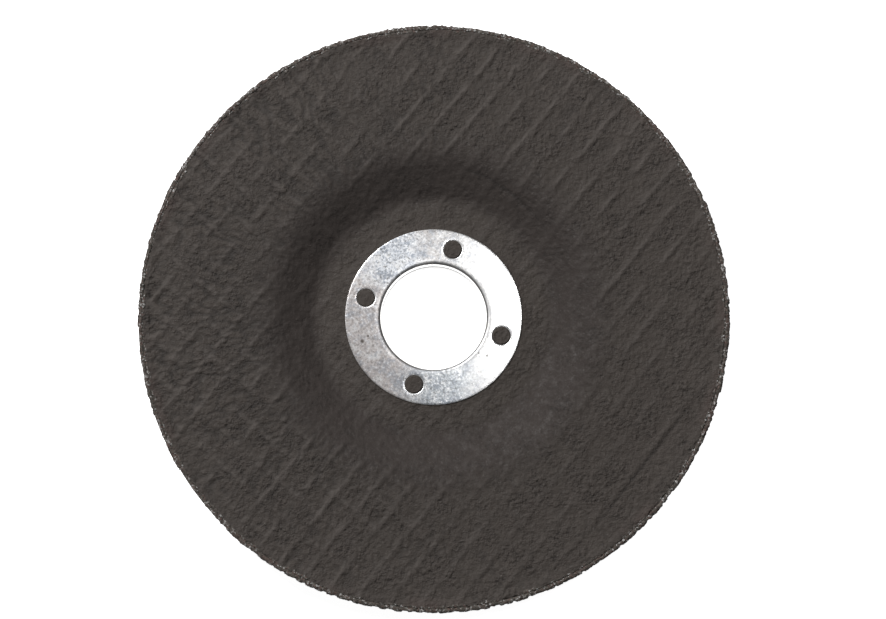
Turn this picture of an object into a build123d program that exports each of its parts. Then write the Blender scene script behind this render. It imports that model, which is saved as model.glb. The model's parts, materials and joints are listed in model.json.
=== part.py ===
from build123d import *
import os
from math import floor, radians, sin, tan

# A depressed-centre grinding disc, in millimetres. Z is its axis and points to the hollow front, which does the
# grinding. The origin is in the middle of the bore, level with the back of the hub.

# Pressed abrasive body
wheel_diameter = 125.0
wheel_thickness = 6.0
depression_depth = 4.6  # how far the front of the hub lies below the front of the rim
floor_margin = 5.3  # flat floor of the hollow that shows around the ring
wall_angle = 27.4  # degrees, from the floor of the hollow to its sloping wall
foot_radius = 5.4  # bend from the floor to the wall, on the front
shoulder_radius = 6.0  # bend from the wall to the rim, on the back
most_bend = 0.95  # share of the wall that its two bends may take
rim_edge_round = 0.6

# Arbor ring, stamped from one piece of sheet steel
bore_diameter = 22.23
flange_width = 7.7  # from the bore to the outer edge of the ring
ring_sheet = 0.5
lip_radius = 1.0  # where the ring's face turns down into the bore
ring_edge_round = 0.15
ring_proud = 0.1  # how far the ring's face stands above the facing
collar_setback = 0.3  # how far the collar stops short of the back of the hub
key_hole_diameter = 4.0
key_hole_count = 4
key_hole_azimuth = 74.1  # degrees, of the first hole

# Black facing of resin-soaked glass mesh, pressed onto the front
facing_thickness = 0.4
facing_setback = 1.2  # bare abrasive between the facing and the rim
facing_bore_margin = 1.2  # bare abrasive under the ring, beside its collar
plug_depth = 0.1  # how far the facing in the ring's holes lies below the ring's face
yarn_angle = 50.5  # degrees, direction of the yarns that show best
yarn_pitch = 5.55
crossing_pitch = 10.6  # of the yarns square to them, of which every second one shows
yarn_width = 1.9
yarn_relief = 0.12  # how far the yarns stand above the hollows between them
yarn_margin = 0.6  # plain facing along both edges of the flat rim
smallest_hollow = 0.125  # share of a whole hollow, below which one cut short by an edge is left out

wheel_radius = wheel_diameter / 2
rim_front = wheel_thickness + depression_depth
bore_radius = bore_diameter / 2
ring_radius = bore_radius + flange_width
ring_face = wheel_thickness + ring_proud
ring_back = ring_face - ring_sheet
collar_outside = bore_radius + ring_sheet
key_hole_circle = (bore_radius + ring_radius) / 2

facing_radius = wheel_radius - facing_setback
facing_bore = collar_outside + facing_bore_margin
facing_under_ring = ring_back - facing_thickness
facing_step = ring_radius + facing_thickness  # the facing turns down around the ring's edge

# The wall is straight between its two bends, so on a short wall the bends shrink to what it leaves them.
half_turn = tan(radians(wall_angle) / 2)
wall_length = depression_depth / sin(radians(wall_angle))
bend_length = (foot_radius + shoulder_radius + wheel_thickness) * half_turn
bend_share = min(1.0, most_bend * wall_length / bend_length)
foot_bend = foot_radius * bend_share
shoulder_bend = (shoulder_radius + wheel_thickness) * bend_share
foot_corner = ring_radius + floor_margin + foot_bend * half_turn
shoulder_corner = foot_corner + depression_depth / tan(radians(wall_angle))
shoulder_end = shoulder_corner + shoulder_bend * half_turn  # where the flat of the rim begins


def dish_line(depth, inner, outer):
    """The front's outline from one radius to another, sunk into the disc by a depth: (radius, height, bend)."""
    shift = depth * half_turn
    hub = wheel_thickness - depth
    return [
        (inner, hub, 0),
        (foot_corner + shift, hub, foot_bend + depth),
        (shoulder_corner + shift, hub + depression_depth, shoulder_bend - depth),
        (outer, hub + depression_depth, 0),
    ]


def turned(corners):
    """A solid of revolution about Z, from the corners of its closed outline."""
    points = [(radius, height) for radius, height, bend in corners]
    bends = [bend for radius, height, bend in corners]
    outline = FilletPolyline(points, radius=bends, close=True)
    return revolve(Plane.XZ * make_face(outline), Axis.Z)


def key_holes(bottom, top):
    """A round pin for each of the ring's holes, between two heights."""
    pin = Pos(Z=bottom) * Cylinder(key_hole_diameter / 2, top - bottom, align=(Align.CENTER, Align.CENTER, Align.MIN))
    return [place * pin for place in PolarLocations(key_hole_circle, key_hole_count, key_hole_azimuth)]


def make_body():
    """The pressed abrasive, with the seat of the ring and of the facing in its front."""
    back = dish_line(wheel_thickness, collar_outside, wheel_radius)
    seat = [
        (collar_outside, ring_back, lip_radius - ring_sheet),
        (facing_bore, ring_back, 0),
        (facing_bore, facing_under_ring, 0),
        (facing_step, facing_under_ring, 0),
    ]
    front = dish_line(facing_thickness, facing_step, facing_radius)
    rim = [
        (facing_radius, rim_front, 0),
        (wheel_radius, rim_front, rim_edge_round),
        (wheel_radius, depression_depth, rim_edge_round),
    ]
    return turned(seat + front + rim + back[-2::-1])


def make_ring():
    """The ring: a flat flange that turns down through the bore as a collar."""
    ring = turned([
        (bore_radius, collar_setback, 0),
        (bore_radius, ring_face, lip_radius),
        (ring_radius, ring_face, ring_edge_round),
        (ring_radius, ring_back, 0),
        (collar_outside, ring_back, lip_radius - ring_sheet),
        (collar_outside, collar_setback, 0),
    ])
    ring -= key_holes(ring_back - ring_sheet, ring_face + ring_sheet)
    top = ring.faces().filter_by(Axis.Z).sort_by(Axis.Z)[-1]
    hole_edges = top.edges().filter_by(lambda edge: edge.radius < flange_width / 2)
    return fillet(hole_edges, ring_edge_round)


def make_yarn_hollows():
    """Cutters for the shallow hollows that the crossing yarns leave in the flat of the rim."""
    flat = Circle(facing_radius - yarn_margin) - Circle(shoulder_end + yarn_margin)
    hollow = Rectangle(crossing_pitch - yarn_width, yarn_pitch - yarn_width)
    rows = 2 * floor(wheel_radius / yarn_pitch) + 1
    columns = 2 * floor(wheel_radius / crossing_pitch) + 1
    turn = Rot(Z=yarn_angle)
    cutters = []
    for place in GridLocations(crossing_pitch, yarn_pitch, columns, rows):
        floor_plan = flat & (turn * place * hollow)
        if floor_plan and floor_plan.area > smallest_hollow * hollow.area:
            cutters.append(Pos(Z=rim_front - yarn_relief) * extrude(floor_plan, 2 * yarn_relief))
    return cutters


def make_facing():
    """The facing: it follows the front, steps down under the ring and fills the ring's holes."""
    facing = turned(
        dish_line(0, ring_radius, facing_radius)
        + dish_line(facing_thickness, facing_step, facing_radius)[::-1]
        + [
            (facing_step, facing_under_ring, 0),
            (facing_bore, facing_under_ring, 0),
            (facing_bore, ring_back, 0),
            (ring_radius, ring_back, 0),
        ]
    )
    facing -= make_yarn_hollows()
    return facing + key_holes(facing_under_ring, ring_face - plug_depth)


pieces = {
    "abrasive_body": make_body(),
    "mesh_facing": make_facing(),
    "arbor_ring": make_ring(),
}

os.makedirs("parts", exist_ok=True)
for name, solid in pieces.items():
    export_step(solid, f"parts/{name}.step")
    print(name, round(solid.volume, 1), "mm3")
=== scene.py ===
# %% [markdown]
# A grinding disc, dressed for the camera.
#
# The disc has three pieces. A body of abrasive grain is pressed and baked into a shallow dish. A black
# facing of resin-soaked glass mesh covers its hollow front. A stamped steel ring lines the bore.

# %% Load the frame
import json
import math
from collections import namedtuple

import bpy
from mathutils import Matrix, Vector, noise
from mathutils.geometry import delaunay_2d_cdt


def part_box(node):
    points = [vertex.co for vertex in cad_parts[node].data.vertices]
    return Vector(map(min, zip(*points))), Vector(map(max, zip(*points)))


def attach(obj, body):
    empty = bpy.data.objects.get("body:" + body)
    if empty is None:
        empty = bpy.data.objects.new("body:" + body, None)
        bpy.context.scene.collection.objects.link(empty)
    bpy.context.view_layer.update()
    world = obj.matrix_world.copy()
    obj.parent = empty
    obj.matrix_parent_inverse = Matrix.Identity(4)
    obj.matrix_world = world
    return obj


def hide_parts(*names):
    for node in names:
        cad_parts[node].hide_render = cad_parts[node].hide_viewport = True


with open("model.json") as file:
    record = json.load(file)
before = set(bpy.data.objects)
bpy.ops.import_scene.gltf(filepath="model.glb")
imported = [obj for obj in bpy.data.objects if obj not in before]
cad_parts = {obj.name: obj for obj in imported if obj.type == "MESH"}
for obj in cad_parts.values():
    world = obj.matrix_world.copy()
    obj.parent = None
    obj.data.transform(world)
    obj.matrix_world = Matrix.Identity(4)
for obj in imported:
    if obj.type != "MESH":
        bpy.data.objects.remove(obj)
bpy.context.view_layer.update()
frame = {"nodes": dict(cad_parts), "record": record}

print("nodes:", sorted(frame["nodes"]))

# %% [markdown]
# The frame gives the outer sizes of each piece: the box of the body holds the disc's radius and the height
# of its front, and the box of the ring holds the ring's. The bend radii of the dish are in no box, so they
# are repeated here as real sizes.

# %% Sizes of the disc
mm = 0.001
body_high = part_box("abrasive_body")[1]
ring_low, ring_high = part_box("arbor_ring")
mounts = {mount["name"]: mount for mount in frame["record"]["mounts"]}

wheel_radius = body_high.x
rim_front = body_high.z
ring_radius = ring_high.x
ring_face = ring_high.z
bore_radius = mounts["arbor_bore"]["dims"]["r_mm"] * mm

wheel_thickness = 6.0 * mm
facing_thickness = 0.4 * mm
skin_thickness = 0.85 * mm  # of the dressed facing, whose folds are deeper than the solid one is thick
facing_radius = wheel_radius - 1.2 * mm
ring_sheet = 0.5 * mm
lip_radius = 1.0 * mm
floor_margin = 5.3 * mm
wall_angle = math.radians(27.4)
foot_bend = 5.4 * mm
shoulder_bend = 6.0 * mm + wheel_thickness

collar_outside = bore_radius + ring_sheet
ring_back = ring_face - ring_sheet
hub_front = wheel_thickness
depression_depth = rim_front - hub_front
for part, part_radius in (("disc", wheel_radius), ("ring", ring_radius), ("bore", bore_radius)):
    print(f"{part}: {2 * part_radius / mm:.2f} mm across")

# %% [markdown]
# The dish has one outline: a flat floor, a bend, a straight wall, a second bend and the flat of the rim.
# Every surface of the disc is parallel to that line, at some depth below the front, so one function of the
# radius and the depth gives them all. A curve modifier or a spun profile would do it too, but a function
# can also be asked for the height under any point of a finely divided mesh.

# %% Outline of the dish
half_turn = math.tan(wall_angle / 2)
foot_corner = ring_radius + floor_margin + foot_bend * half_turn
shoulder_corner = foot_corner + depression_depth / math.tan(wall_angle)


def dish_height(radius, depth=0.0):
    """Height of the surface that lies a depth below the front, at a distance from the axis."""
    floor_level = hub_front - depth
    rim_level = rim_front - depth
    foot_radius = foot_bend + depth
    shoulder_radius = shoulder_bend - depth
    foot_start = foot_corner + (depth - foot_radius) * half_turn
    foot_end = foot_start + foot_radius * math.sin(wall_angle)
    shoulder_end = shoulder_corner + (depth + shoulder_radius) * half_turn
    shoulder_start = shoulder_end - shoulder_radius * math.sin(wall_angle)
    if radius <= foot_start:
        return floor_level
    if radius <= foot_end:
        return floor_level + foot_radius - math.sqrt(foot_radius ** 2 - (radius - foot_start) ** 2)
    if radius <= shoulder_start:
        return floor_level + (radius - foot_corner - depth * half_turn) * math.tan(wall_angle)
    if radius <= shoulder_end:
        return rim_level - shoulder_radius + math.sqrt(shoulder_radius ** 2 - (shoulder_end - radius) ** 2)
    return rim_level


flat_start = shoulder_corner + shoulder_bend * half_turn
print(f"the flat of the rim starts {flat_start / mm:.1f} mm from the axis")

# %% [markdown]
# All three pieces are rings of points joined by faces, with flat or dished stretches between them. A small
# class gathers them: loop() lays a circle of points, bridge() joins two circles of as many points with
# four-sided faces, and fill() covers the plan between an outer circle and any circles inside it with an
# even net of triangles. The net is what lets a hole be cut at any place with no poles or long thin faces in
# a surface that gets fine relief.

# %% Loops, bridges and nets
Loop = namedtuple("Loop", "points centre radius")
loop_clearance = 0.6  # share of its spacing that a net keeps clear of its loops
same_place = 1e-9


class Shell:
    """The points and faces of one closed piece, gathered step by step."""

    def __init__(self):
        self.points = []
        self.faces = []

    def loop(self, radius, height, count, centre=(0.0, 0.0)):
        """A circle of points about a centre, at a height."""
        first = len(self.points)
        for step in range(count):
            angle = 2 * math.pi * step / count
            x = centre[0] + radius * math.cos(angle)
            y = centre[1] + radius * math.sin(angle)
            self.points.append(Vector((x, y, height)))
        return Loop(list(range(first, first + count)), centre, radius)

    def bridge(self, first, second):
        """Four-sided faces between two loops, facing out if the second lies above or inside the first."""
        ring, other = first.points, second.points
        for step in range(len(ring)):
            after = (step + 1) % len(ring)
            self.faces.append((ring[step], ring[after], other[after], other[step]))

    def lathe(self, profile, count, centre=(0.0, 0.0)):
        """Loops at each radius and height of a profile, bridged in order."""
        loops = [self.loop(radius, height, count, centre) for radius, height in profile]
        for first, second in zip(loops, loops[1:]):
            self.bridge(first, second)
        return loops

    def net_points(self, outer, inner, spacing, height):
        """Points of a net of even triangles, inside one loop and outside others."""
        new = []
        clearance = loop_clearance * spacing
        row_height = spacing * math.sqrt(3) / 2
        rows = math.ceil(outer.radius / row_height)
        columns = math.ceil(outer.radius / spacing) + 1
        for row in range(-rows, rows + 1):
            for column in range(-columns, columns + 1):
                x = outer.centre[0] + (column + 0.5 * (row % 2)) * spacing
                y = outer.centre[1] + row * row_height
                inside = math.dist((x, y), outer.centre) < outer.radius - clearance
                if inside and all(math.dist((x, y), hole.centre) > hole.radius + clearance for hole in inner):
                    new.append(len(self.points))
                    self.points.append(Vector((x, y, height(math.hypot(x, y)))))
        return new

    def fill(self, outer, inner, spacing, height, upward=True):
        """An even net of triangles inside one loop and outside others. Returns the new points."""
        loops = [outer, *inner]
        corners = [index for loop in loops for index in loop.points]
        edges = []
        start = 0
        for loop in loops:
            count = len(loop.points)
            edges += [(start + step, start + (step + 1) % count) for step in range(count)]
            start += count
        new = self.net_points(outer, inner, spacing, height)
        corners += new
        plan = [self.points[index].to_2d() for index in corners]
        triangles, source = delaunay_2d_cdt(plan, edges, [], 0, same_place)[2:4]
        owner = {index: number for number, loop in enumerate(loops) for index in loop.points}
        for triangle in triangles:
            face = [corners[source[corner][0]] for corner in triangle]
            owners = {owner.get(index) for index in face}
            in_a_hole = len(owners) == 1 and owners != {None} and owners != {0}
            if not in_a_hole:
                self.faces.append(face if upward else face[::-1])
        return new

    def make(self, name, marks=None):
        """The Blender object, smooth shaded, with any marks kept as a value at each point."""
        mesh = bpy.data.meshes.new(name)
        mesh.from_pydata(self.points, [], self.faces)
        for mark, values in (marks or {}).items():
            layer = mesh.attributes.new(mark, "FLOAT", "POINT")
            layer.data.foreach_set("value", values)
        mesh.shade_smooth()
        mesh.validate()
        piece = bpy.data.objects.new(name, mesh)
        bpy.context.collection.objects.link(piece)
        mesh.calc_loop_triangles()
        print(f"{name}: {len(self.points)} points, {len(mesh.loop_triangles)} triangles")
        return piece


def quarter(centre_radius, centre_height, bend, start, end, steps):
    """Points on an arc of a profile, by its centre, its bend and its first and last angle in degrees."""
    angles = [math.radians(start + (end - start) * step / steps) for step in range(steps + 1)]
    return [(centre_radius + bend * math.cos(a), centre_height + bend * math.sin(a)) for a in angles]


# %% [markdown]
# The relief of the facing is the look of this disc. It is a sum of parts: yarns, folds, crinkled openings
# and two long creases. Each part is a function of the place on the disc, and their sum moves the points of
# the net, never above the front. All this could be a bump in the shader, but the mesh shows it at the rim
# too.
#
# Smooth noise makes every part uneven. It comes in layers, and no two parts of the facing share one, so
# that no pattern repeats another.

# %% Noise and limits
layer_gap = 17.3


def noise_at(x, y, size, layer):
    """Smooth noise from -1 to 1, with blobs of about a size, different in each layer."""
    return noise.noise(Vector((x / size, y / size, layer_gap * layer)))


def held(value, low=0.0, high=1.0):
    """A value kept between two limits."""
    return min(high, max(low, value))


print(f"noise at the middle of the rim: {noise_at(50 * mm, 0.0, 4 * mm, 1):.2f}")

# %% [markdown]
# Under the skin lies an open mesh of glass yarns, one set every 5.6 mm and one across it every 5.2 mm. A
# yarn is a rounded ridge with a groove along one side, where the skin was drawn down beside it. Rounding
# gives the distance to the nearest yarn of a set, and noise makes the yarns sway, and fade in places. The
# crossing set is clearest at the left. The main set is faintest at the lower right, and a little weaker
# where the folds are deepest.

# %% Yarns
Yarns = namedtuple("Yarns", "azimuth pitch offset groove layer")
main_yarns = Yarns(
    azimuth=math.radians(50.75), pitch=5.60 * mm, offset=-2.62 * mm, groove=-0.34, layer=1
)
crossing_yarns = Yarns(
    azimuth=math.radians(139.8), pitch=5.22 * mm, offset=0.25 * mm, groove=0.30, layer=3
)
yarn_spread = 0.50 * mm
groove_distance = 2.1 * yarn_spread
groove_spread = 0.9 * yarn_spread
sway = 0.35 * mm
sway_length = 9 * mm
wiggle = 0.15 * mm
wiggle_length = 2.5 * mm
wiggle_layer = 30
fading_length = 4 * mm
faintest_yarns = math.radians(318)
deepest_folds = math.radians(165)
clearest_crossing = math.radians(190)


def yarn_height(x, y, yarns):
    """1 or so over the middle of a yarn, and less than 0 in the groove along one of its sides."""
    across = y * math.cos(yarns.azimuth) - x * math.sin(yarns.azimuth) - yarns.offset
    across += sway * noise_at(x, y, sway_length, yarns.layer)
    across += wiggle * noise_at(x, y, wiggle_length, yarns.layer + wiggle_layer)
    off_yarn = across - yarns.pitch * round(across / yarns.pitch)
    off_groove = off_yarn - math.copysign(groove_distance, yarns.groove)
    strength = held(1.02 + 1.5 * noise_at(x, y, fading_length, yarns.layer + 1), 0.2, 1.45)
    height = math.exp(-0.5 * (off_yarn / yarn_spread) ** 2)
    return strength * (height - abs(yarns.groove) * math.exp(-0.5 * (off_groove / groove_spread) ** 2))


def weave_height(x, y):
    """Both sets of yarns together, 1 or so on a yarn and more where two cross."""
    turn = math.atan2(y, x)
    main = yarn_height(x, y, main_yarns)
    main *= 1.0 - 0.50 * held(math.cos(turn - faintest_yarns)) ** 2
    main *= 1.0 - 0.12 * held(math.cos(turn - deepest_folds)) ** 2
    crossing = yarn_height(x, y, crossing_yarns)
    crossing *= 0.48 + 0.26 * math.cos(turn - clearest_crossing)
    return held(main + crossing - 0.6 * held(main) * held(crossing), -0.6, 1.3)


samples = [weave_height(50 * mm, step * mm) for step in range(-20, 21)]
print(f"weave across the rim: {min(samples):.2f} to {max(samples):.2f}")

# %% [markdown]
# In the openings between the yarns the skin shrank as it baked. It is crinkled into small plates with
# creases between them, more in some patches than in others. A crease is where smooth noise passes through
# zero, which gives lines that fork and end as real ones do.

# %% Openings and crinkles
opening_layer = 9
opening_patch = 4 * mm
crinkle_size = 1.3 * mm
crinkle_width = 0.5
crinkle_layer = 7
fine_crinkle_layer = 6


def opening_at(x, y):
    """How crinkled the skin is, from 0 on a yarn to 1 in the middle of the roughest openings."""
    patch = held(0.65 + noise_at(x, y, opening_patch, opening_layer), 0.25)
    return patch * (1.0 - 0.85 * held(weave_height(x, y)))


def crinkle_depth(x, y):
    """1 in the creases of the finely crinkled skin and 0 on its plates."""
    level = noise_at(x, y, crinkle_size, crinkle_layer)
    level += 0.35 * noise_at(x, y, 0.5 * crinkle_size, fine_crinkle_layer)
    return opening_at(x, y) * held(1.0 - abs(level) / crinkle_width)


samples = [crinkle_depth(50 * mm, step * mm) for step in range(-20, 21)]
print(f"crinkles across the rim: {min(samples):.2f} to {max(samples):.2f}")

# %% [markdown]
# Narrow folds run outwards from the axis, because a flat sheet was pressed into a dish. They are zero lines
# of noise too, but the noise is asked for by azimuth and radius, and stretched along the radius. Wide folds
# lie in patches, with narrower ones between.

# %% Folds
fold_width = 0.34
folds_around = 30.0
fold_length = 4.0 * mm
first_fold = 27 * mm
full_folds = 10 * mm  # from the first fold to where the folds are whole
fold_sway = 0.25
fold_sway_length = 2.0 * mm
fold_sway_layers = (11, 12)
fold_patch = 7 * mm
fold_patch_layer = 5
narrow_scale = 1.9
narrow_shift = Vector((3.1, 5.2, 7.7))
narrow_width = 1.3 * fold_width


def fold_depth(x, y):
    """1 along the middle of a fold and 0 on the skin between. Folds are deepest towards the left."""
    radius = math.hypot(x, y)
    around = Vector((folds_around * x / radius, folds_around * y / radius, radius / fold_length))
    swayed = [noise_at(x, y, fold_sway_length, layer) for layer in fold_sway_layers]
    around += fold_sway * Vector((*swayed, 0.0))
    wide = held(1.0 - abs(noise.noise(around)) / fold_width)
    narrow = held(1.0 - abs(noise.noise(around * narrow_scale + narrow_shift)) / narrow_width)
    side = 0.5 + 0.5 * math.cos(math.atan2(y, x) - deepest_folds)
    outer = held((radius - first_fold) / full_folds)
    patch = held(0.5 + 1.3 * noise_at(x, y, fold_patch, fold_patch_layer) + 0.4 * side)
    return outer * (0.35 + 0.65 * side) * max(wide * patch, 0.7 * narrow * (1.1 - 0.6 * patch))


samples = [fold_depth(-50 * mm, step * mm) for step in range(-20, 21)]
print(f"folds at the left: {min(samples):.2f} to {max(samples):.2f}")

# %% [markdown]
# Two creases are longer than any fold: one runs along the wall of the dish at the upper right, and one
# follows a yarn at the lower right. Each is a line with two ends, deepest in its middle.

# %% Long creases
crease_width = 0.55 * mm
wall_crease = (36.0, 84.0)  # azimuths of its ends, in degrees
wall_crease_radii = (32.3 * mm, 29.8 * mm)
wall_crease_sway = 0.3 * mm
wall_crease_layer = 21
yarn_crease = (Vector((55.5 * mm, -17.0 * mm)), Vector((31.0 * mm, -47.8 * mm)))


def crease_depth(x, y):
    """1 along the two long creases and 0 away from them."""
    turn = math.degrees(math.atan2(y, x))
    share = (wall_crease[1] - turn) / (wall_crease[1] - wall_crease[0])
    crease_radius = wall_crease_radii[0] + share * (wall_crease_radii[1] - wall_crease_radii[0])
    crease_radius += wall_crease_sway * noise_at(x, y, 4 * mm, wall_crease_layer)
    off_wall_crease = abs(math.hypot(x, y) - crease_radius)
    start, end = yarn_crease
    along = (Vector((x, y)) - start).dot((end - start).normalized()) / (end - start).length
    off_yarn_crease = (Vector((x, y)) - start.lerp(end, along)).length
    depth = 0.0
    for place, distance in ((share, off_wall_crease), (along, off_yarn_crease)):
        if 0.0 < place < 1.0:
            depth = max(depth, math.sin(math.pi * place) ** 0.5 * held(1.0 - distance / crease_width))
    return depth


print(f"the crease along a yarn is {(yarn_crease[1] - yarn_crease[0]).length / mm:.0f} mm long")

# %% [markdown]
# The sum of the parts is the depth of the skin below the front. The yarns fade towards the ring, the wall
# of the dish is calmer than the rest, because the press stretched the sheet there, and the skin is held
# smooth along its two edges. A soft limit keeps the deepest places inside the skin's thickness.

# %% Relief of the facing
yarn_relief = 0.28 * mm
fold_relief = 0.44 * mm
crinkle_relief = 0.26 * mm
crease_relief = 0.13 * mm
grit_relief = 0.14 * mm
grit_size = 0.8 * mm
grit_layer = 8
deepest_relief = 0.75 * mm
yarns_begin = 24 * mm
yarns_rise = 14 * mm
calm_radius = 30.5 * mm
calm_reach = 8.0 * mm
inner_edge = 1.5 * mm
outer_edge = 2.0 * mm


def facing_relief(x, y):
    """How far the skin lies below the front, as a negative height."""
    radius = math.hypot(x, y)
    fold = fold_depth(x, y)
    depth = held((radius - yarns_begin) / yarns_rise, 0.4) * yarn_relief * (1.0 - weave_height(x, y))
    depth += fold_relief * fold
    depth += crinkle_relief * crinkle_depth(x, y) * (1.0 - 0.7 * fold)
    depth *= 1.0 - 0.40 * held(1.6 - 1.6 * abs(radius - calm_radius) / calm_reach)
    depth += crease_relief * crease_depth(x, y)
    depth += grit_relief * (0.4 - noise_at(x, y, grit_size, grit_layer))
    depth *= held((radius - ring_radius) / inner_edge, 0.4)
    depth *= held((facing_radius - radius) / outer_edge, 0.45)
    return -deepest_relief * math.tanh(max(0.0, depth) / deepest_relief)


samples = [facing_relief(radius * mm, 2 * mm) / mm for radius in range(20, 61)]
print(f"relief along one radius: {min(samples):.2f} to {max(samples):.2f} mm")

# %% [markdown]
# The facing is a closed skin. Its front is the fine net with the relief. At the ring it steps down and runs
# on under the steel, where four short plugs of it fill the ring's holes. It could be a plane with a
# displace modifier, but then the plugs, the step and the thin edge at the rim would need pieces of their
# own. The skin also carries marks at each point, for the paint: how high the weave is, how deep the folds
# are, and how crinkled it is.

# %% Mesh facing
net = 0.385 * mm
plug_net = 0.3 * mm
seat_net = 1.0 * mm
step_net = 2.0 * mm
hidden_net = 3.0 * mm
outer_count = 1000
inner_count = 308
hole_points = 64
hole_count = 4
hole_radius = 1.93 * mm
hole_azimuth = math.radians(74.1)
hole_circle = (bore_radius + ring_radius) / 2
plug_top = ring_face - 0.1 * mm
facing_step = ring_radius + facing_thickness
facing_bore = collar_outside + 1.2 * mm
under_ring = ring_back - facing_thickness
hole_azimuths = [hole_azimuth + math.tau * number / hole_count for number in range(hole_count)]
hole_centres = [(hole_circle * math.cos(a), hole_circle * math.sin(a)) for a in hole_azimuths]


def make_facing():
    """The facing with its relief, its step under the ring and its four plugs."""
    shell = Shell()
    ridges = {}
    folds = {}
    openings = {}

    def press(points):
        """Sink points into the relief, and note what lies there for the paint."""
        for index in points:
            point = shell.points[index]
            ridges[index] = weave_height(point.x, point.y)
            openings[index] = opening_at(point.x, point.y)
            folds[index] = max(
                fold_depth(point.x, point.y),
                crease_depth(point.x, point.y),
                0.5 * crinkle_depth(point.x, point.y),
            )
            point.z += facing_relief(point.x, point.y)

    front_edge = shell.loop(facing_radius, rim_front, outer_count)
    ring_edge = shell.loop(ring_radius, hub_front, inner_count)
    skin = shell.fill(front_edge, [ring_edge], net, dish_height)
    press(skin)
    press(front_edge.points)

    step_down = shell.loop(ring_radius, ring_back, inner_count)
    shell.bridge(step_down, ring_edge)
    bore_top = shell.loop(facing_bore, ring_back, inner_count)
    feet = [shell.loop(hole_radius, ring_back, hole_points, centre) for centre in hole_centres]
    shell.fill(step_down, [bore_top, *feet], seat_net, lambda radius: ring_back)
    for foot in feet:
        top = shell.loop(hole_radius, plug_top, hole_points, foot.centre)
        shell.bridge(foot, top)
        press(shell.fill(top, [], plug_net, lambda radius: plug_top))

    bore_low = shell.loop(facing_bore, under_ring, inner_count)
    shell.bridge(bore_low, bore_top)
    step_low = shell.loop(facing_step, under_ring, inner_count)
    shell.fill(step_low, [bore_low], step_net, lambda radius: under_ring, upward=False)
    step_high = shell.loop(facing_step, hub_front - skin_thickness, inner_count)
    shell.bridge(step_high, step_low)
    edge_low = shell.loop(facing_radius, rim_front - skin_thickness, outer_count)
    shell.bridge(edge_low, front_edge)
    shell.fill(
        edge_low, [step_high], hidden_net,
        lambda radius: dish_height(radius, skin_thickness), upward=False,
    )

    marks = {"ridge": ridges, "fold": folds, "opening": openings}
    everywhere = range(len(shell.points))
    return shell.make("mesh_facing_skin", {
        mark: [noted.get(index, 0.0) for index in everywhere] for mark, noted in marks.items()
    })


facing = make_facing()
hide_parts("mesh_facing")
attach(facing, "root")

# %% [markdown]
# Outside the facing the bare abrasive shows: crystals of half a millimetre and more that were broken when
# the disc was pressed and trimmed, with dark hollows between them. Cells of Voronoi noise are the size and
# shape of such grains. Each cell gets a height of its own, and its borders are grooves. The trimming also
# left the rim a little out of round, with small notches, and a few steps at its left.

# %% Relief of the bare abrasive
grain_size = 0.6 * mm
crevice_depth = 0.13 * mm
crevice_width = 0.3
level_depth = 0.20 * mm
trim_depth = 0.10 * mm
trim_size = 5 * mm
trim_layer = 4
notch_depth = 0.85 * mm
notch_size = 1.1 * mm
notch_layer = 13
dent_depth = 0.3 * mm
dent_size = 4 * mm
dent_layer = 14
edge_steps = [  # azimuth in degrees and depth in millimetres of each step
    (166.6, 0.30), (182.5, 0.38), (189.7, 0.28), (200.1, 0.36), (211.8, 0.40), (217.2, 0.30),
]
step_run = 8.0


def grain_at(point):
    """How deep the surface lies in the grain at a point, in metres, and a random value for that grain."""
    distances, cells = noise.voronoi(point / grain_size)
    crevice = max(0.0, 1.0 - (distances[1] - distances[0]) / crevice_width)
    tone = noise.cell(cells[0] * 7.7)
    depth = crevice_depth * crevice + level_depth * tone * tone
    return depth, tone


def rim_wear(x, y):
    """How far the trimmed rim falls short of a true circle, in metres."""
    azimuth = math.degrees(math.atan2(y, x)) % 360
    wear = trim_depth * (1.0 + noise_at(x, y, trim_size, trim_layer))
    wear += notch_depth * held(noise_at(x, y, notch_size, notch_layer))
    wear += dent_depth * held(noise_at(x, y, dent_size, dent_layer))
    for start, depth in edge_steps:
        run = (azimuth - start) % 360
        if run < step_run:
            wear += depth * mm * (1.0 - run / step_run)
    return wear


samples = [rim_wear(wheel_radius * math.cos(a), wheel_radius * math.sin(a)) / mm for a in range(60)]
print(f"the rim is trimmed {min(samples):.2f} to {max(samples):.2f} mm short")

# %% [markdown]
# The body's profile runs from the back of the rim up its side, and over the rim to the facing's edge. It is
# laid in loops, so that a grain stands out sideways there, and the back is a net like the facing's, because
# it is a dish too. The points carry each grain's random value along, so that the paint can give each grain
# its own tone.

# %% Abrasive body
rim_count = 2000
rim_round = 0.45 * mm
rim_row = 0.34 * mm
arc_steps = 4
back_net = 0.64 * mm
land = rim_front - 0.04 * mm
rim_back = depression_depth
plain_grain = 0.5


def rows(start, end, row):
    """Profile points on a straight run, one row apart, without the last."""
    count = max(1, round(math.dist(start, end) / row))
    return [tuple(a + (b - a) * step / count for a, b in zip(start, end)) for step in range(count)]


def rim_profile():
    """Radius and height of each loop, from the back of the rim over its side to the facing's edge."""
    side = wheel_radius - rim_round
    low_arc = quarter(side, rim_back + rim_round, rim_round, -90, 0, arc_steps)
    high_arc = quarter(side, land - rim_round, rim_round, 0, 90, arc_steps)
    top_edge = (facing_radius, land)
    profile = [*low_arc, *rows(low_arc[-1], high_arc[0], rim_row)[1:], *high_arc]
    return profile + rows(high_arc[-1], top_edge, rim_row)[1:] + [top_edge]


def rim_direction(point):
    """The way out of the disc from a point of the rim."""
    radius = point.xy.length
    inner = max(0.0, radius - (wheel_radius - rim_round))
    lift = max(0.0, point.z - (land - rim_round)) - max(0.0, rim_back + rim_round - point.z)
    outward = point.xy.normalized() * inner
    return Vector((outward.x, outward.y, lift)).normalized()


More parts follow.
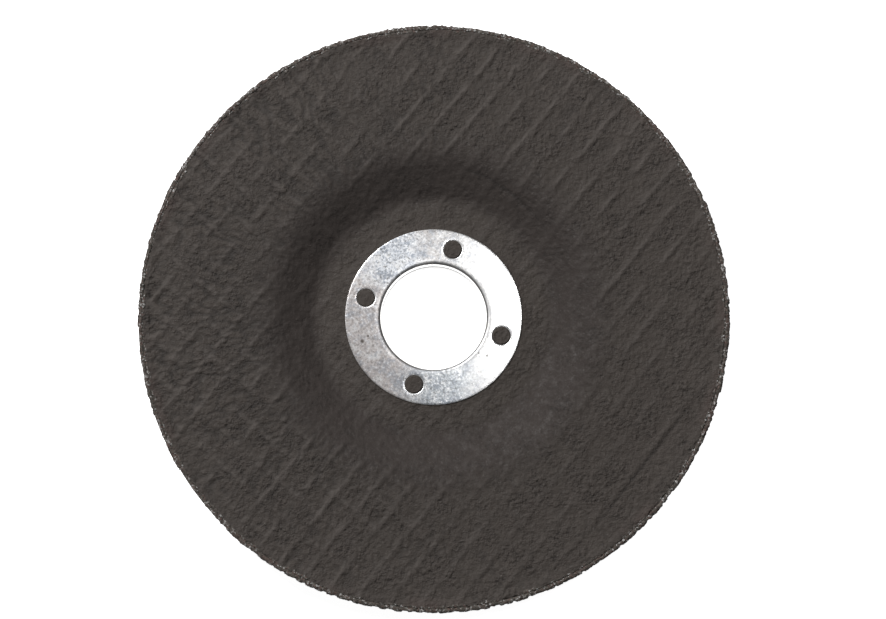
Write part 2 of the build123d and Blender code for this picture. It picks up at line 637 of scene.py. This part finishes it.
def make_body():
    """The pressed abrasive, with its grains at the rim and on the back, and its seat for the ring."""
    shell = Shell()
    tones = {}

    def break_up(points, direction):
        """Sink points into their grains, each along its own direction."""
        for index in points:
            point = shell.points[index]
            depth, tones[index] = grain_at(point)
            out = direction(point)
            if out.xy.length > 0.1:
                depth += rim_wear(point.x, point.y)
            shell.points[index] = point - out * depth

    loops = shell.lathe(rim_profile(), rim_count)
    break_up([index for loop in loops for index in loop.points], rim_direction)

    under_facing = shell.loop(facing_radius, rim_front - skin_thickness, rim_count)
    shell.bridge(loops[-1], under_facing)
    step_high = shell.loop(facing_step, hub_front - skin_thickness, inner_count)
    shell.fill(under_facing, [step_high], hidden_net, lambda radius: dish_height(radius, skin_thickness))
    seat = [
        (facing_step, under_ring),
        (facing_bore, under_ring),
        (facing_bore, ring_back),
        (collar_outside + lip_radius - ring_sheet, ring_back),
        (collar_outside, ring_back - (lip_radius - ring_sheet)),
        (collar_outside, 0.0),
    ]
    seat_loops = shell.lathe(seat, inner_count)
    shell.bridge(step_high, seat_loops[0])
    back = shell.fill(
        loops[0], [seat_loops[-1]], back_net,
        lambda radius: dish_height(radius, wheel_thickness), upward=False,
    )
    break_up(back, lambda point: Vector((0.0, 0.0, -1.0)))

    grains = [tones.get(index, plain_grain) for index in range(len(shell.points))]
    return shell.make("pressed_abrasive", {"grain": grains})


body = make_body()
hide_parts("abrasive_body")
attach(body, "root")

# %% [markdown]
# The ring is pressed from half-millimetre sheet: a flat flange with four round holes, a rounded lip, and a
# collar that goes down through the bore. Punching rolls the edge of each hole down a little, and those
# rolled edges catch the light, so they are modelled, with the lip, as short arcs.

# %% Arbor ring
ring_count = 240
ring_round = 0.15 * mm
hole_roll = 0.22 * mm
lip_round = 0.95 * mm
lip_steps = 12
collar_low = ring_low.z
collar_chamfer = 0.1 * mm
flange_net = 0.35 * mm


def make_ring():
    """The flange with its four rolled holes, its lip and its collar."""
    shell = Shell()
    outer_edge = [
        (ring_radius, ring_back),
        *quarter(ring_radius - ring_round, ring_face - ring_round, ring_round, 0, 90, arc_steps),
    ]
    outer = shell.lathe(outer_edge, ring_count)
    back_bend = lip_radius - ring_sheet
    lip = [
        *quarter(bore_radius + lip_round, ring_face - lip_round, lip_round, 90, 180, lip_steps),
        (bore_radius, collar_low + collar_chamfer),
        (bore_radius + collar_chamfer, collar_low),
        (collar_outside, collar_low),
        (collar_outside, ring_back - back_bend),
        *quarter(bore_radius + lip_radius, ring_face - lip_radius, back_bend, 180, 90, arc_steps)[1:],
    ]
    inner = shell.lathe(lip, ring_count)
    rolled = set()
    holes_high = []
    holes_low = []
    for centre in hole_centres:
        roll = [
            *quarter(hole_radius + hole_roll, ring_face - hole_roll, hole_roll, 90, 180, arc_steps),
            (hole_radius, ring_back),
        ]
        loops = shell.lathe(roll, hole_points, centre)
        rolled |= {index for loop in loops[1:] for index in loop.points}
        holes_high.append(loops[0])
        holes_low.append(loops[-1])
    shell.fill(outer[-1], [inner[0], *holes_high], flange_net, lambda radius: ring_face)
    shell.fill(outer[0], [inner[-1], *holes_low], seat_net, lambda radius: ring_back, upward=False)
    marks = {"rolled": [float(index in rolled) for index in range(len(shell.points))]}
    return shell.make("stamped_ring", marks)


ring = make_ring()
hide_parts("arbor_ring")
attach(ring, "root")

# %% [markdown]
# Paint is mixed in node trees. Written out node by node they are hard to read, so a small class wraps a
# socket: plus, minus and times on it add the Math nodes, also with the number first, as in 1 - mask. A
# second class stands for a tree, and its one method add() makes any other node from its type, its settings
# and its sockets.

# %% Node trees as expressions


class Value:
    """An output socket, on which arithmetic adds Math nodes."""

    def __init__(self, paint, socket):
        self.paint = paint
        self.socket = socket

    def combine(self, operation, first, second):
        return self.paint.add("ShaderNodeMath", {"operation": operation}, {0: first, 1: second})

    def __add__(self, other):
        return self.combine("ADD", self, other)

    def __radd__(self, other):
        return self.combine("ADD", other, self)

    def __sub__(self, other):
        return self.combine("SUBTRACT", self, other)

    def __rsub__(self, other):
        return self.combine("SUBTRACT", other, self)

    def __mul__(self, other):
        return self.combine("MULTIPLY", self, other)

    def __rmul__(self, other):
        return self.combine("MULTIPLY", other, self)


class Paint:
    """The node tree of a material or of the world."""

    def __init__(self, owner):
        owner.use_nodes = True
        self.name = owner.name
        self.tree = owner.node_tree
        self.tree.nodes.clear()

    def add(self, kind, settings=None, sockets=None, output=0):
        """A node: its settings are set first, then its sockets, from values or links."""
        node = self.tree.nodes.new(kind)
        for name, setting in (settings or {}).items():
            setattr(node, name, setting)
        for name, value in (sockets or {}).items():
            if isinstance(value, Value):
                self.tree.links.new(value.socket, node.inputs[name])
            else:
                node.inputs[name].default_value = value
        return Value(self, node.outputs[output]) if node.outputs else None

    def vector(self, operation, first, second=None, third=None, output="Vector"):
        """A Vector Math node."""
        given = {0: first, 1: second, 2: third}
        sockets = {number: value for number, value in given.items() if value is not None}
        return self.add("ShaderNodeVectorMath", {"operation": operation}, sockets, output)

    def mix(self, amount, first, second, blend="MIX"):
        """Two colours mixed by an amount from 0 to 1."""
        settings = {"data_type": "RGBA", "blend_type": blend}
        return self.add("ShaderNodeMix", settings, {0: amount, 6: first, 7: second}, output=2)

    def band(self, value, low, high, start=0.0, end=1.0):
        """A value taken from one range to another, and held at its ends."""
        sockets = {"Value": value, "From Min": low, "From Max": high, "To Min": start, "To Max": end}
        return self.add("ShaderNodeMapRange", {"clamp": True}, sockets)

    def noise(self, place, size, detail=2.0, roughness=0.5):
        """Noise with blobs of about a size, around 0.5."""
        sockets = {"Vector": place, "Scale": 1.0 / size, "Detail": detail, "Roughness": roughness}
        return self.add("ShaderNodeTexNoise", None, sockets)

    def place(self):
        """The place on the piece, in metres."""
        return self.add("ShaderNodeTexCoord", output="Object")

    def along(self, place, axis):
        """One coordinate of a place."""
        return self.add("ShaderNodeSeparateXYZ", None, {"Vector": place}, axis)

    def flat(self, place):
        """A place brought down to the level of the floor."""
        return self.vector("MULTIPLY", place, (1.0, 1.0, 0.0))

    def from_axis(self, place):
        """The distance of a place from the disc's axis."""
        return self.vector("LENGTH", self.flat(place), output="Value")

    def mark(self, name):
        """A value that the piece carries at each point."""
        return self.add("ShaderNodeAttribute", {"attribute_name": name}, output="Fac")

    def bump(self, height, distance):
        """The normal of a surface with this height in it."""
        return self.add("ShaderNodeBump", None, {"Strength": 1.0, "Distance": distance, "Height": height})

    def finish(self, sockets):
        """The material's one shader, and its output."""
        shader = self.add("ShaderNodeBsdfPrincipled", None, sockets)
        self.add("ShaderNodeOutputMaterial", None, {"Surface": shader})
        print(f"{self.name}: {len(self.tree.nodes)} nodes")


def grey(level, warmth=0.0):
    """A grey, with a little more red and less blue as it gets warmer."""
    return (level * (1 + warmth), level, level * (1 - warmth), 1.0)


# %% [markdown]
# Bare grains are broken crystals, each with its own tone: most are dark grey-brown, some are maroon, and a
# few are pale, partly a painted glint. Voronoi cells a little under a third of a millimetre wide are the
# crystals, and their random colour picks the tone. The body wears this paint all over, and the facing wears
# it along its outer edge, where the trimming has torn the resin away, so it is a function that both call.

# %% Grains
grain_width = 0.31 * mm
grain_warp = 0.3 * mm
warp_size = 0.5 * mm
darkest_grain = grey(0.032, 0.12)
palest_grain = grey(0.110, 0.13)
maroon_grain = (0.120, 0.066, 0.058, 1.0)
pale_grain_and_painted_glint = grey(0.34, 0.02)


def grains(paint, place):
    """The tone of bare abrasive grains, and a random value for each, which is its height too."""
    bent = paint.add("ShaderNodeTexNoise", None, {"Vector": place, "Scale": 1 / warp_size}, "Color")
    bent = paint.vector("MULTIPLY_ADD", bent, (grain_warp, grain_warp, grain_warp), place)
    sockets = {"Vector": bent, "Scale": 1 / grain_width}
    crystal = paint.add("ShaderNodeTexVoronoi", {"feature": "F1"}, sockets, "Color")
    chip = paint.add("ShaderNodeSeparateColor", None, {"Color": crystal}, "Red")
    hue = paint.add("ShaderNodeSeparateColor", None, {"Color": crystal}, "Green")
    tone = paint.mix(chip, darkest_grain, palest_grain)
    tone = paint.mix(paint.band(hue, 0.78, 0.83) * 0.4, tone, maroon_grain)
    # The pale grains are partly a painted glint.
    tone = paint.mix(paint.band(chip, 0.80, 0.95) * 0.90, tone, pale_grain_and_painted_glint)
    return tone, chip


print(f"about {2 * math.pi * wheel_radius / grain_width:.0f} crystals around the rim")

# %% [markdown]
# The facing is black only by name: its resin is a dull warm grey-brown. It gets painted shade in the grooves,
# in the folds and in the small pits of the openings, and is paler along the crests of the yarns and towards
# the rim. The marks that the mesh carries and noise drive the tone. The wall of the hollow gets painted shade
# too, and its gloss is uneven, which shows only where the wall faces the lamp. A fine bump adds the curls and
# the grain that are smaller than the net.

# %% Patterns of the facing
foot_start = 23 * mm
foot_end = 26 * mm

facing_paint = bpy.data.materials.new("black_facing_resin")
paint = Paint(facing_paint)
place = paint.place()
ridge = paint.mark("ridge")
fold = paint.mark("fold")
opening = paint.mark("opening")
from_axis = paint.from_axis(place)
curl = paint.noise(place, 0.70 * mm, 1.0)
speck = paint.noise(place, 0.40 * mm, 2.0, 0.6)
fine = paint.noise(place, 0.75 * mm, 2.0, 0.6)
mottle = paint.noise(place, 1.8 * mm, 4.0, 0.75)
blotch = paint.noise(place, 7 * mm, 3.0, 0.6)
pitted = opening * paint.band(from_axis, 26 * mm, 40 * mm, 0.6, 1.0)
past_foot = paint.band(from_axis, foot_start, foot_end)
wall = past_foot * paint.band(from_axis, 33 * mm, 39.5 * mm, 1.0, 0.0)
dish = past_foot * paint.band(from_axis, 34 * mm, 41 * mm, 1.0, 0.0)
crest = paint.band(ridge, 0.5, 1.25) * paint.band(from_axis, 32 * mm, 42 * mm, 0.15, 1.0)
stain = paint.band(paint.noise(place, 9 * mm, 2.0), 0.48, 0.62)
stain = stain * paint.band(from_axis, facing_radius - 2.5 * mm, facing_radius)
print(f"patterns of the facing: {len(paint.tree.nodes)} nodes")

# %% Black facing
plain_resin = grey(0.043, 0.15)
resin_on_yarns = grey(0.047, 0.13)
painted_shade_in_grooves = grey(0.022, 0.10)
resin_near_rim = grey(0.053, 0.14)
resin_in_blotches = grey(0.041, 0.15)
painted_shade_on_wall = (0.0322, 0.0270, 0.0243, 1.0)
resin_mottle = grey(0.060, 0.12)
painted_shade_in_folds = grey(0.015, 0.10)
painted_shade_in_pits = grey(0.012, 0.10)
resin_specks = grey(0.12, 0.10)
resin_on_crests = grey(0.063, 0.12)
rust_stain = (0.080, 0.052, 0.045, 1.0)
resin_tint = (0.995, 0.96, 0.985, 1.0)

tone = paint.mix(paint.band(ridge, 0.0, 0.9), plain_resin, resin_on_yarns)
# Painted shade in the grooves beside the yarns.
tone = paint.mix(paint.band(ridge, 0.0, -0.5) * 0.20, tone, painted_shade_in_grooves)
tone = paint.mix(paint.band(from_axis, 46 * mm, 56 * mm) * 0.6, tone, resin_near_rim)
tone = paint.mix(paint.band(blotch, 0.35, 0.65) * 0.5, tone, resin_in_blotches)
# Painted shade on the wall of the hollow.
tone = paint.mix(wall * 0.7, tone, painted_shade_on_wall)
tone = paint.mix(paint.band(mottle, 0.50, 0.66) * dish * 0.16, tone, resin_mottle)
# Painted shade in the folds.
tone = paint.mix(paint.band(fold, 0.1, 0.95) * 0.66, tone, painted_shade_in_folds)
# Painted shade in the pits of the openings.
tone = paint.mix(paint.band(curl, 0.42, 0.30) * pitted * 0.55, tone, painted_shade_in_pits)
tone = paint.mix(paint.band(speck, 0.62, 0.76) * 0.25, tone, resin_specks)
tone = paint.mix(crest * 0.68, tone, resin_on_crests)
tone = paint.mix(stain * 0.25, tone, rust_stain)
tone = paint.mix(1.0, tone, resin_tint, "MULTIPLY")

bare_tone, bare_relief = grains(paint, place)
border = from_axis + (paint.noise(place, 4 * mm, 3.0, 0.65) - 0.5) * (3.0 * mm)
bare = paint.band(border, facing_radius - 0.45 * mm, facing_radius - 0.15 * mm)
skin_bumps = (curl * pitted * 1.75 + fine + speck * 0.3) * (1.0 - dish * 0.55)
paint.finish({
    "Base Color": paint.mix(bare, tone, bare_tone),
    "Roughness": paint.band(speck, 0.3, 0.7, 0.80, 0.62) + (0.52 - mottle) * dish * 0.90,
    "Specular IOR Level": 0.2,
    "Normal": paint.bump(skin_bumps + bare_relief * bare * 1.2, 0.265 * mm),
})
facing.data.materials.append(facing_paint)

# %% [markdown]
# On the body the grains show everywhere, and dust evens them out on the back. The random value that the
# mesh carries gives the grains that lie deeper a painted shade.

# %% Bare abrasive
dust = grey(0.045, 0.14)
painted_shade_on_deep_grains = grey(0.018, 0.12)
maroon_patch = (0.085, 0.048, 0.045, 1.0)

abrasive_paint = bpy.data.materials.new("bonded_abrasive_grain")
paint = Paint(abrasive_paint)
place = paint.place()
grain = paint.mark("grain")
broken = paint.band(paint.from_axis(place), wheel_radius - 2.0 * mm, wheel_radius - 1.2 * mm)
maroon = paint.noise(place, 6 * mm, 2.0)
fine = paint.noise(place, 0.3 * mm, 2.0, 0.6)
tone, chip = grains(paint, place)
tone = paint.mix(0.75 - broken * 0.75, tone, dust)
# Painted shade on the grains that lie deeper.
tone = paint.mix(paint.band(grain, 0.5, 1.0) * 0.25, tone, painted_shade_on_deep_grains)
tone = paint.mix(paint.band(maroon, 0.50, 0.70) * 0.25, tone, maroon_patch)
paint.finish({
    "Base Color": tone,
    "Roughness": paint.band(chip, 0.80, 0.95, 0.75, 0.50),
    "Specular IOR Level": 0.15,
    "Normal": paint.bump(fine + chip * 1.5, 0.12 * mm),
})
body.data.materials.append(abrasive_paint)

# %% [markdown]
# The ring's zinc is bright but not even. Its left is a little pinkish and darker, partly painted reflection.
# Two patches of painted reflection, which also tint the zinc, lie on it: a pale bluish one at the upper left
# and a darker one at the bottom. The coating has grown in crystals under a millimetre wide, which show most
# in those patches and least at the right. Noise in three sizes gives them, from a mist to fine scuffs.
#
# A few dark specks lie on the flange. Towards the bore, where the steel turns down, it gets painted shade.
# The rolled edges of the holes are rougher, so they show as pale rims and not as sparks, and they are painted
# paler, a painted highlight. The ring's outer brim gets painted shade. The collar is painted bright, a
# painted highlight, with a thin painted shadow line around its inside.

# %% Clouds of the zinc
pinkish_zinc_and_painted_reflection = (0.61, 0.565, 0.55, 1.0)
plain_zinc = grey(0.62, 0.01)
misty_zinc = (0.33, 0.36, 0.41, 1.0)
cloudy_zinc = (0.30, 0.33, 0.38, 1.0)
bright_zinc = grey(0.90)
scuffed_zinc = grey(0.22, 0.02)
polished_zinc = grey(0.98)
# Two patches of painted reflection, which also tint the zinc.
tint_and_reflection_patches = [  # place and reach in millimetres, and colour
    (-8.5, 13.0, 8.5, (0.77, 0.80, 0.85, 1.0)),
    (1.0, -15.0, 9.0, (0.51, 0.54, 0.57, 1.0)),
]

zinc_paint = bpy.data.materials.new("zinc_plated_steel_sheet")
paint = Paint(zinc_paint)
place = paint.place()
flat_place = paint.flat(place)
from_axis = paint.from_axis(place)
to_the_right = paint.along(place, "X")
# Pinkish zinc, darker towards the left as a painted reflection.
tone = paint.mix(paint.band(to_the_right, -8 * mm, 5 * mm), pinkish_zinc_and_painted_reflection, plain_zinc)
ragged = (paint.noise(place, 4 * mm, 2.0) - 0.5) * (6.0 * mm)
patchy = 0.0
for x, y, reach, cast in tint_and_reflection_patches:
    off_patch = paint.vector("DISTANCE", flat_place, (x * mm, y * mm, 0.0), output="Value")
    inside = paint.band(off_patch + ragged, reach * mm, 0.4 * reach * mm)
    tone = paint.mix(inside, tone, cast)
    patchy = patchy + inside
mist = paint.noise(place, 2.5 * mm, 3.0, 0.6)
cloud = paint.noise(place, 0.9 * mm, 3.0, 0.6)
scuff = paint.noise(place, 0.50 * mm, 2.0, 0.7)
spangle = (0.55 + patchy * 0.40) * paint.band(to_the_right, 2 * mm, 11 * mm, 1.0, 0.45)
for pattern, start, end, cast in (
    (mist, 0.50, 0.66, misty_zinc),
    (mist, 0.46, 0.34, bright_zinc),
    (cloud, 0.50, 0.66, cloudy_zinc),
    (scuff, 0.53, 0.68, scuffed_zinc),
    (scuff, 0.47, 0.32, polished_zinc),
):
    tone = paint.mix(paint.band(pattern, start, end) * spangle, tone, cast)
print(f"clouded zinc: {len(paint.tree.nodes)} nodes so far")

# %% Edges of the ring
speck_dirt = grey(0.06, 0.25)
lip_shade = grey(0.20, 0.03)
painted_collar_highlight = grey(0.95, 0.01)
painted_shadow_tone = grey(0.03, 0.03)
painted_hole_edge_highlight = grey(0.80)
brim_shade = grey(0.25, 0.03)
specks = [  # place and size in millimetres
    (-15.1, -5.2, 0.55), (-13.9, -4.1, 0.30), (11.3, -8.3, 0.36), (9.6, -7.8, 0.25),
]
shadow_line_height = 3.4 * mm
hollowing = -1.2 / (1000 * mm * mm)  # the flange is a very shallow dome, as stamping leaves it

for x, y, reach in specks:
    off_speck = paint.vector("DISTANCE", flat_place, (x * mm, y * mm, 0.0), output="Value")
    off_speck = off_speck + scuff * (0.4 * mm) - 0.2 * mm
    tone = paint.mix(paint.band(off_speck, reach * mm, 0.4 * reach * mm) * 0.8, tone, speck_dirt)
# Painted shade towards the bore, where the steel turns down.
near_lip = paint.band(from_axis, bore_radius + 1.5 * mm, bore_radius + 0.5 * mm)
turned_down = paint.band(from_axis, bore_radius + 0.55 * mm, bore_radius + 0.35 * mm)
tone = paint.mix(near_lip * 0.45 + turned_down * 0.35, tone, lip_shade)
# Painted highlight: the collar is painted nearly white.
collar = paint.band(from_axis, bore_radius + 0.25 * mm, bore_radius + 0.10 * mm)
tone = paint.mix(collar, tone, painted_collar_highlight)
height = paint.along(place, "Z")
# A painted shadow line runs around the inside of the collar.
painted_shadow_line = paint.band(height, shadow_line_height + 0.65 * mm, shadow_line_height + 0.45 * mm)
painted_shadow_line = painted_shadow_line * paint.band(height, shadow_line_height - 0.65 * mm, shadow_line_height - 0.45 * mm)
tone = paint.mix(painted_shadow_line * collar, tone, painted_shadow_tone)
rolled = paint.mark("rolled")
# The rolled edges of the holes are painted paler, a painted highlight.
tone = paint.mix(rolled * 0.7, tone, painted_hole_edge_highlight)
# Painted shade along the ring's outer brim.
brim = paint.band(from_axis, ring_radius - 0.16 * mm, ring_radius - 0.08 * mm)
tone = paint.mix(brim * 0.6, tone, brim_shade)
roughness = paint.band(cloud, 0.3, 0.7, 0.26, 0.34) + rolled * 0.2 + brim * 0.2
paint.finish({
    "Base Color": tone,
    "Metallic": 1.0,
    "Roughness": roughness + (near_lip - turned_down) * 0.24,
    "Normal": paint.bump(cloud * 0.012 + from_axis * from_axis * hollowing, 1.0 * mm),
})
ring.data.materials.append(zinc_paint)

# %% [markdown]
# The disc lies on its hub on a plain white table. The floor takes the disc's soft shadow, and what the
# camera sees of it is lifted to white by an emission that only the camera, gloss and glass see, so no extra
# light falls on the disc.

# %% Floor
floor_size = 1.2
floor_gap = 0.05 * mm
floor_glow = 0.93
floor_tone = grey(0.85)
seen_by = ("Is Camera Ray", "Is Glossy Ray", "Is Transmission Ray")

floor_mesh = bpy.data.meshes.new("table_top")
corners = [(-1, -1), (1, -1), (1, 1), (-1, 1)]
floor_mesh.from_pydata([(x * floor_size, y * floor_size, 0.0) for x, y in corners], [], [(0, 1, 2, 3)])
floor = bpy.data.objects.new("table_top", floor_mesh)
bpy.context.collection.objects.link(floor)
floor.location.z = -floor_gap

floor_paint = bpy.data.materials.new("white_table")
paint = Paint(floor_paint)
camera_ray, glossy_ray, glass_ray = [paint.add("ShaderNodeLightPath", output=name) for name in seen_by]
seen = paint.band(camera_ray + glossy_ray + glass_ray, 0.0, 1.0)
glow = paint.add("ShaderNodeEmission", None, {"Color": grey(1.0), "Strength": floor_glow})
matt = paint.add("ShaderNodeBsdfDiffuse", None, {"Color": floor_tone})
both = paint.add("ShaderNodeAddShader", None, {0: matt, 1: glow})
shown = paint.add("ShaderNodeMixShader", None, {"Fac": seen, 1: matt, 2: both})
paint.add("ShaderNodeOutputMaterial", None, {"Surface": shown})
floor_mesh.materials.append(floor_paint)
print(f"table: {2 * floor_size:.1f} m wide")

# %% [markdown]
# The main light comes from a window at the upper left, about halfway up, which draws the yarns and leaves
# the wall of the hollow dark on that side. A small lamp high at the upper right makes the right of the ring
# shine, and a wide pale wall at the top of the picture adds a soft sheen. The rest of the room fills in
# weakly, a little more in reflections.

# %% Lights
room_light = 0.10
room_reflection = 0.18


def area_light(name, azimuth, elevation, distance, size, power):
    """A round lamp that looks at the disc from an azimuth and an elevation in degrees."""
    lamp = bpy.data.lights.new(name, "AREA")
    lamp.shape = "DISK"
    lamp.size = size
    lamp.energy = power
    piece = bpy.data.objects.new(name, lamp)
    bpy.context.collection.objects.link(piece)
    a = math.radians(azimuth)
    e = math.radians(elevation)
    direction = Vector((math.cos(e) * math.cos(a), math.cos(e) * math.sin(a), math.sin(e)))
    piece.location = direction * distance
    piece.rotation_euler = (-direction).to_track_quat("-Z", "Y").to_euler()
    print(f"{name}: {power} W from {azimuth} degrees, {elevation} up")


area_light("window", azimuth=133, elevation=47, distance=0.9, size=0.22, power=8.7)
area_light("ceiling", azimuth=38, elevation=77, distance=1.2, size=0.10, power=2.1)
area_light("far_wall", azimuth=95, elevation=20, distance=1.0, size=0.7, power=1.0)

world = bpy.data.worlds.new("room")
bpy.context.scene.world = world
paint = Paint(world)
glossy = paint.add("ShaderNodeLightPath", output="Is Glossy Ray")
dim = paint.add("ShaderNodeBackground", None, {"Color": grey(1.0), "Strength": room_light})
bright = paint.add("ShaderNodeBackground", None, {"Color": grey(1.0), "Strength": room_reflection})
shown = paint.add("ShaderNodeMixShader", None, {"Fac": glossy, 1: dim, 2: bright})
paint.add("ShaderNodeOutputWorld", None, {"Surface": shown})

# %% [markdown]
# The photograph was taken from almost straight above. The rim is an ellipse only a hundredth narrower one
# way, so the camera leans by about seven degrees, and the ring sits off the rim's middle by as much as a
# camera a little under half a metre away would show.

# %% Camera
camera_distance = 0.460
lean_down = math.radians(7.45)
lean_right = math.radians(0.97)
lens = 88.97
sensor_width = 36.0
aim = Vector((2.09 * mm, 0.95 * mm, rim_front))

camera_data = bpy.data.cameras.new("camera")
camera_data.lens = lens
camera_data.sensor_width = sensor_width
camera = bpy.data.objects.new("camera", camera_data)
bpy.context.collection.objects.link(camera)
bpy.context.scene.camera = camera
camera.rotation_euler = (lean_down, lean_right, 0.0)
camera.location = aim + camera.rotation_euler.to_matrix() @ Vector((0.0, 0.0, camera_distance))
bpy.context.scene.view_settings.view_transform = "Standard"
print("camera at", [round(v, 3) for v in camera.location])
